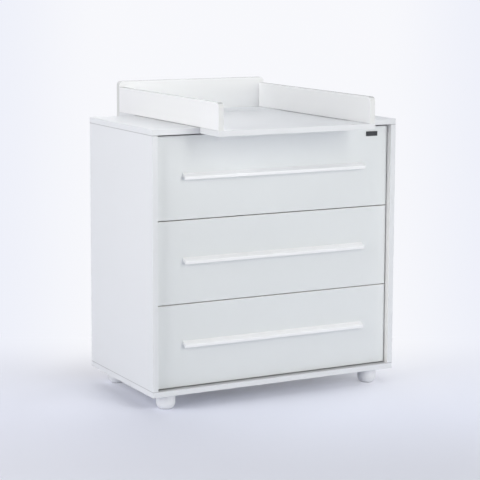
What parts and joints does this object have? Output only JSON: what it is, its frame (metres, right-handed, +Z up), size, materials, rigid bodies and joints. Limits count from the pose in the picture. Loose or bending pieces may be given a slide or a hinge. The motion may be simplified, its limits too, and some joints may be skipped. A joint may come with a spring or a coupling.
{
  "type": "changing dresser",
  "caption": "White dresser on round feet with inset drawers on telescopic runners and a lift-off changing tray that overhangs the top at the front and rear.",
  "frame": {"origin": "on the floor, under the middle of the whole box of the object with its tray", "axes": "+Z up, +X to the right of someone who faces the drawers, drawers open towards -Y"},
  "size_m": [0.862, 0.739, 0.969],
  "materials": {
    "white_board": "satin white foil on fibreboard",
    "white_handle": "satin white lacquer",
    "white_hardboard": "matt white printed hardboard",
    "turned_white": "satin white lacquer on turned beech",
    "runner_steel": "zinc plated sheet",
    "zinc_steel": "bright zinc",
    "beech": "raw fluted beech",
    "grey_felt": "needled felt",
    "dark_plate": "dark anodised"
  },
  "bodies": {
    "carcass": {"back_panel": "white_hardboard", "bottom_panel": "white_board", "cam_fittings": "zinc_steel", "carcass_dowels": "beech", "foot_front_left": "turned_white", "foot_front_right": "turned_white", "foot_glides": "grey_felt", "foot_rear_left": "turned_white", "foot_rear_right": "turned_white", "foot_studs": "zinc_steel", "foot_tee_nuts": "zinc_steel", "rear_rail": "white_board", "runner_cabinet_1": "runner_steel", "runner_cabinet_2": "runner_steel", "runner_cabinet_3": "runner_steel", "runner_screws": "zinc_steel", "side_panel_left": "white_board", "side_panel_right": "white_board", "top_panel": "white_board"},
    "drawer_1": {"drawer_1_back": "white_board", "drawer_1_bottom": "white_hardboard", "drawer_1_dowels": "beech", "drawer_1_front": "white_board", "drawer_1_handle": "white_handle", "drawer_1_handle_screws": "zinc_steel", "drawer_1_runner_screws": "zinc_steel", "drawer_1_side_left": "white_board", "drawer_1_side_right": "white_board", "front_plate": "dark_plate", "runner_drawer_1": "runner_steel"},
    "runner_middle_1": {"runner_middle_1": "runner_steel"},
    "drawer_2": {"drawer_2_back": "white_board", "drawer_2_bottom": "white_hardboard", "drawer_2_dowels": "beech", "drawer_2_front": "white_board", "drawer_2_handle": "white_handle", "drawer_2_handle_screws": "zinc_steel", "drawer_2_runner_screws": "zinc_steel", "drawer_2_side_left": "white_board", "drawer_2_side_right": "white_board", "runner_drawer_2": "runner_steel"},
    "runner_middle_2": {"runner_middle_2": "runner_steel"},
    "drawer_3": {"drawer_3_back": "white_board", "drawer_3_bottom": "white_hardboard", "drawer_3_dowels": "beech", "drawer_3_front": "white_board", "drawer_3_handle": "white_handle", "drawer_3_handle_screws": "zinc_steel", "drawer_3_runner_screws": "zinc_steel", "drawer_3_side_left": "white_board", "drawer_3_side_right": "white_board", "runner_drawer_3": "runner_steel"},
    "runner_middle_3": {"runner_middle_3": "runner_steel"},
    "tray": {"tray_back": "white_board", "tray_front_shelf": "white_board", "tray_pads": "grey_felt", "tray_rear_shelf": "white_board", "tray_screws": "zinc_steel", "tray_side_left": "white_board", "tray_side_right": "white_board"}
  },
  "joints": [
    {"name": "drawer_1_slide", "type": "slide", "parent": "carcass", "child": "drawer_1", "axis": [0, -1, 0], "range_m": [0, 0.38]},
    {"name": "runner_middle_1_slide", "type": "slide", "parent": "carcass", "child": "runner_middle_1", "axis": [0, -1, 0], "range_m": [0, 0.19]},
    {"name": "drawer_2_slide", "type": "slide", "parent": "carcass", "child": "drawer_2", "axis": [0, -1, 0], "range_m": [0, 0.38]},
    {"name": "runner_middle_2_slide", "type": "slide", "parent": "carcass", "child": "runner_middle_2", "axis": [0, -1, 0], "range_m": [0, 0.19]},
    {"name": "drawer_3_slide", "type": "slide", "parent": "carcass", "child": "drawer_3", "axis": [0, -1, 0], "range_m": [0, 0.38]},
    {"name": "runner_middle_3_slide", "type": "slide", "parent": "carcass", "child": "runner_middle_3", "axis": [0, -1, 0], "range_m": [0, 0.19]},
    {"name": "tray_lift", "type": "slide", "parent": "carcass", "child": "tray", "axis": [0, 0, 1], "range_m": [0, 0.13]}
  ],
  "couplings": [
    {"joint": "runner_middle_1_slide", "follows": "drawer_1_slide", "ratio": 0.5},
    {"joint": "runner_middle_2_slide", "follows": "drawer_2_slide", "ratio": 0.5},
    {"joint": "runner_middle_3_slide", "follows": "drawer_3_slide", "ratio": 0.5}
  ]
}
